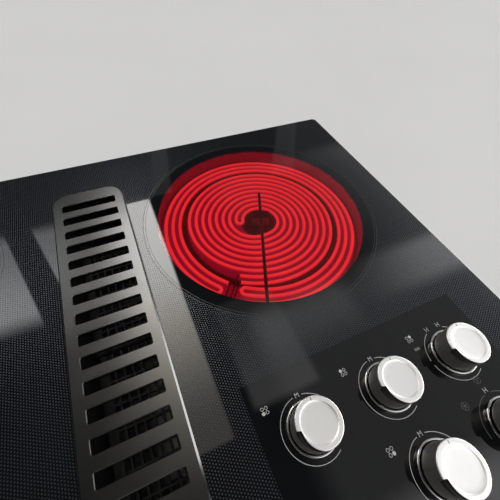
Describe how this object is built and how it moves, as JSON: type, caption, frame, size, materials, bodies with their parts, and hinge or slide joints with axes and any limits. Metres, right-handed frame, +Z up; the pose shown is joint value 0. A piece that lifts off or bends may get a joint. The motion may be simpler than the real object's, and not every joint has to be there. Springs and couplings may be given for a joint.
{
  "type": "electric downdraft cooktop",
  "caption": "Drop-in black glass electric cooktop with radiant heaters, push-to-turn chrome knobs and a centre downdraft vent with blower.",
  "frame": {"origin": "centre of the glass and of the vent in plan, on the counter's top face, where the seal rests", "axes": "+X to the user's right, along the glass's long side; +Y to the back; +Z up"},
  "size_m": [0.78, 0.544, 0.4495],
  "materials": {
    "glass": "black ceramic glass, polished, with a fine printed dot pattern",
    "seal_foam": "closed-cell foam",
    "galvanised_steel": "zinc-coated sheet",
    "pan_steel": "bright sheet",
    "insulation": "pressed mineral fibre",
    "hot_winding": "wound heating strand, glowing red",
    "cold_winding": "wound heating strand, dull oxide",
    "limiter_ceramic": "unglazed ceramic with a steel rod and leads",
    "grille_metal": "satin grey coating",
    "rubber": "moulded rubber",
    "filter_aluminium": "layered mesh in a folded frame",
    "wire_steel": "bright wire and fixings",
    "throat_paint": "dark satin enamel",
    "wheel_steel": "pressed sheet blades",
    "motor_paint": "black stove paint",
    "trim_chrome": "polished",
    "knob_chrome": "polished top, satin skirt",
    "shaft_brass": "turned",
    "switch_plastic": "moulded thermoset"
  },
  "bodies": {
    "root": {"glass_top": "glass", "counter_seal": "seal_foam", "burner_box": "galvanised_steel", "heater_rails": "galvanised_steel", "plenum_box": "galvanised_steel", "blower_cover": "galvanised_steel", "blower_scroll": "galvanised_steel", "duct_collar": "galvanised_steel", "control_bracket": "galvanised_steel", "supply_box": "galvanised_steel", "supply_cover": "galvanised_steel", "hold_down_brackets": "galvanised_steel", "right_rear_pan": "pan_steel", "left_rear_pan": "pan_steel", "left_front_pan": "pan_steel", "bridge_pan": "pan_steel", "right_rear_insulation": "insulation", "left_rear_insulation": "insulation", "left_front_insulation": "insulation", "bridge_insulation": "insulation", "right_rear_outer_winding": "hot_winding", "right_rear_inner_winding": "hot_winding", "left_rear_winding": "cold_winding", "left_front_winding": "cold_winding", "bridge_winding": "cold_winding", "right_rear_limiter": "limiter_ceramic", "right_rear_terminals": "limiter_ceramic", "left_rear_limiter": "limiter_ceramic", "left_front_limiter": "limiter_ceramic", "bridge_limiter": "limiter_ceramic", "motor_mounts": "rubber", "clamp_screws": "wire_steel", "fasteners": "wire_steel", "vent_throat": "throat_paint", "motor": "motor_paint", "knob_trims": "trim_chrome", "switch_left_front": "switch_plastic", "switch_left_rear": "switch_plastic", "switch_right_rear": "switch_plastic", "switch_bridge": "switch_plastic", "switch_fan": "switch_plastic"},
    "grille": {"vent_grille": "grille_metal", "grille_pads": "rubber"},
    "filter": {"filter_frame": "filter_aluminium", "filter_mesh": "filter_aluminium", "filter_handle": "wire_steel"},
    "wheel": {"blower_wheel": "wheel_steel", "motor_shaft": "wire_steel"},
    "fan_control": {"knob_fan": "knob_chrome", "shaft_fan": "shaft_brass"},
    "left_front_shaft": {"shaft_left_front": "shaft_brass"},
    "left_front_knob": {"knob_left_front": "knob_chrome"},
    "left_rear_shaft": {"shaft_left_rear": "shaft_brass"},
    "left_rear_knob": {"knob_left_rear": "knob_chrome"},
    "right_rear_shaft": {"shaft_right_rear": "shaft_brass"},
    "right_rear_knob": {"knob_right_rear": "knob_chrome"},
    "bridge_shaft": {"shaft_bridge": "shaft_brass"},
    "bridge_knob": {"knob_bridge": "knob_chrome"}
  },
  "joints": [
    {"name": "left_front_turn", "type": "hinge", "parent": "root", "child": "left_front_shaft", "pos_m": [0.1326, -0.146, 0.0055], "axis": [0, 0, -1], "range_deg": [0, 300]},
    {"name": "left_front_push", "type": "slide", "parent": "left_front_shaft", "child": "left_front_knob", "axis": [0, 0, -1], "range_m": [0, 0.003], "stiffness_N_per_m": 900, "springref_m": -0.003},
    {"name": "left_rear_turn", "type": "hinge", "parent": "root", "child": "left_rear_shaft", "pos_m": [0.2126, -0.146, 0.0055], "axis": [0, 0, -1], "range_deg": [0, 300]},
    {"name": "left_rear_push", "type": "slide", "parent": "left_rear_shaft", "child": "left_rear_knob", "axis": [0, 0, -1], "range_m": [0, 0.003], "stiffness_N_per_m": 900, "springref_m": -0.003},
    {"name": "right_rear_turn", "type": "hinge", "parent": "root", "child": "right_rear_shaft", "pos_m": [0.2926, -0.146, 0.0055], "axis": [0, 0, -1], "range_deg": [0, 300]},
    {"name": "right_rear_push", "type": "slide", "parent": "right_rear_shaft", "child": "right_rear_knob", "axis": [0, 0, -1], "range_m": [0, 0.003], "stiffness_N_per_m": 900, "springref_m": -0.003},
    {"name": "bridge_turn", "type": "hinge", "parent": "root", "child": "bridge_shaft", "pos_m": [0.2126, -0.213, 0.0055], "axis": [0, 0, -1], "range_deg": [0, 300]},
    {"name": "bridge_push", "type": "slide", "parent": "bridge_shaft", "child": "bridge_knob", "axis": [0, 0, -1], "range_m": [0, 0.003], "stiffness_N_per_m": 900, "springref_m": -0.003},
    {"name": "fan_turn", "type": "hinge", "parent": "root", "child": "fan_control", "pos_m": [0.2926, -0.213, 0.0055], "axis": [0, 0, -1], "range_deg": [0, 270]},
    {"name": "grille_lift", "type": "slide", "parent": "root", "child": "grille", "axis": [0, 0, 1], "range_m": [0, 0.12]},
    {"name": "filter_lift", "type": "slide", "parent": "root", "child": "filter", "axis": [0, 0, 1], "range_m": [0, 0.12]},
    {"name": "wheel_spin", "type": "hinge", "parent": "root", "child": "wheel", "pos_m": [0.1, 0, -0.235], "axis": [1, 0, 0], "continuous": true}
  ],
  "couplings": [
    {"joint": "filter_lift", "follows": "grille_lift", "ratio": 1}
  ]
}
